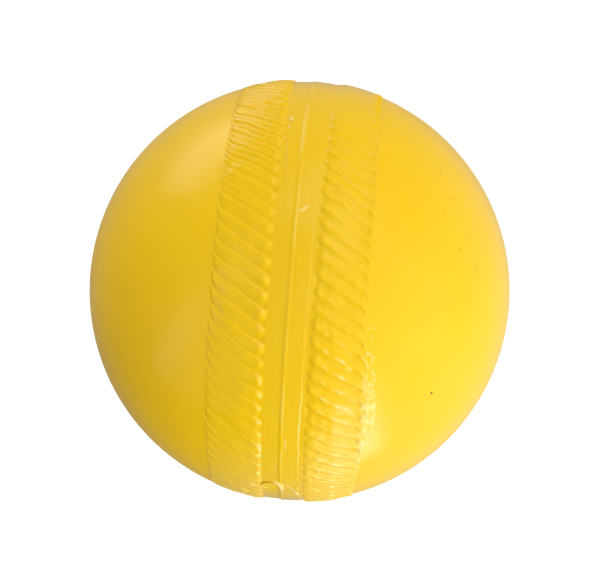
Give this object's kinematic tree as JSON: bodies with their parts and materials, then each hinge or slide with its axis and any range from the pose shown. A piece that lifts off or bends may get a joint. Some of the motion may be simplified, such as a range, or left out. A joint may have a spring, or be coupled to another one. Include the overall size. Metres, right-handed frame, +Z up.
{
  "type": "plastic cricket ball",
  "caption": "Hollow moulded ball for informal cricket, with satin caps, a recessed seam channel and a glossy band of slanted moulded stitches on each side of it.",
  "frame": {"origin": "centre of the ball", "axes": "+X along the seam's axis, from the left half to the right half; the seam lies in the YZ plane; the vent plug faces -Y; +Z up"},
  "size_m": [0.0714, 0.0712, 0.0712],
  "materials": {
    "left_cap": "satin yellow moulded plastic, smooth",
    "right_cap": "satin yellow moulded plastic, smooth, with a few dark moulding specks",
    "left_band": "glossy yellow moulded plastic with slanted ridges",
    "right_band": "glossy yellow moulded plastic with slanted ridges and ragged flash",
    "weld": "glossy yellow weld bead, slightly uneven",
    "plug": "glossy yellow moulded plastic"
  },
  "bodies": {
    "root": {"left_half_shell": "left_cap", "right_half_shell": "right_cap", "left_stitch_band": "left_band", "right_stitch_band": "right_band", "weld_bead": "weld", "vent_plug": "plug"}
  },
  "joints": []
}
